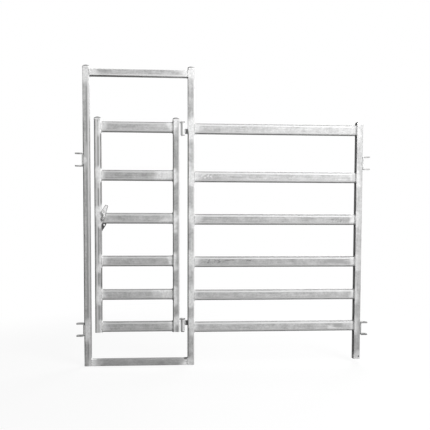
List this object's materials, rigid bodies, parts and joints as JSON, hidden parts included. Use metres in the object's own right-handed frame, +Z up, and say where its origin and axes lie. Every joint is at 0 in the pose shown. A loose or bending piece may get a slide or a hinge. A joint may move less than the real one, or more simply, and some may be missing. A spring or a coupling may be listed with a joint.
{
  "type": "pedestrian gate panel",
  "caption": "Galvanised stockyard panel: tall door frame with a hinged railed pedestrian gate and turn latch, beside a fixed railed panel, with pin lugs at the ends.",
  "frame": {"origin": "middle of the panel's length and depth, level with the sill's underside", "axes": "+X along the panel to its fixed end, +Y to the back, away from the latch handle, +Z up"},
  "size_m": [2.22, 0.0823, 2.237],
  "materials": {
    "galvanised_tube": "pre-galvanised tube, matt grey with faint streaks, silver paint over the welds",
    "galvanised_fitting": "hot-dip galvanised plate and bar, dull grey",
    "pressed_cap": "pressed steel cap, silver paint"
  },
  "bodies": {
    "frame": {"latch_post": "galvanised_tube", "hinge_post": "galvanised_tube", "end_post": "galvanised_tube", "end_post_foot": "galvanised_fitting", "header": "galvanised_tube", "sill": "galvanised_tube", "panel_rail_1": "galvanised_tube", "panel_rail_2": "galvanised_tube", "panel_rail_3": "galvanised_tube", "panel_rail_4": "galvanised_tube", "panel_rail_5": "galvanised_tube", "panel_rail_6": "galvanised_tube", "latch_post_cap": "pressed_cap", "hinge_post_cap": "pressed_cap", "end_post_cap": "pressed_cap", "panel_end_lower_lug": "galvanised_fitting", "latch_end_lower_lug": "galvanised_fitting", "panel_end_upper_lug": "galvanised_fitting", "latch_end_upper_lug": "galvanised_fitting", "lower_hinge_barrel": "galvanised_fitting", "lower_hinge_lug": "galvanised_fitting", "upper_hinge_barrel": "galvanised_fitting", "upper_hinge_lug": "galvanised_fitting", "latch_keeper": "galvanised_fitting"},
    "gate": {"latch_stile": "galvanised_tube", "hinge_stile": "galvanised_tube", "latch_stile_cap": "pressed_cap", "hinge_stile_cap": "pressed_cap", "gate_rail_1": "galvanised_tube", "gate_rail_2": "galvanised_tube", "gate_rail_3": "galvanised_tube", "gate_rail_4": "galvanised_tube", "gate_rail_5": "galvanised_tube", "gate_rail_6": "galvanised_tube", "lower_hinge_tab": "galvanised_fitting", "lower_hinge_pin": "galvanised_fitting", "lower_hinge_collar": "galvanised_fitting", "upper_hinge_tab": "galvanised_fitting", "upper_hinge_pin": "galvanised_fitting", "upper_hinge_collar": "galvanised_fitting", "latch_sleeve": "galvanised_fitting"},
    "latch": {"latch_handle": "galvanised_fitting", "latch_shaft": "galvanised_fitting", "latch_tongue": "galvanised_fitting", "latch_spring_washer": "galvanised_fitting"}
  },
  "joints": [
    {"name": "gate_swing", "type": "hinge", "parent": "frame", "child": "gate", "pos_m": [-0.3145, 0, 0.3], "axis": [0, 0, 1], "range_deg": [-105, 105]},
    {"name": "latch_turn", "type": "hinge", "parent": "gate", "child": "latch", "pos_m": [-0.901, 0, 1.11], "axis": [0, 1, 0], "range_deg": [-14, 76]}
  ]
}
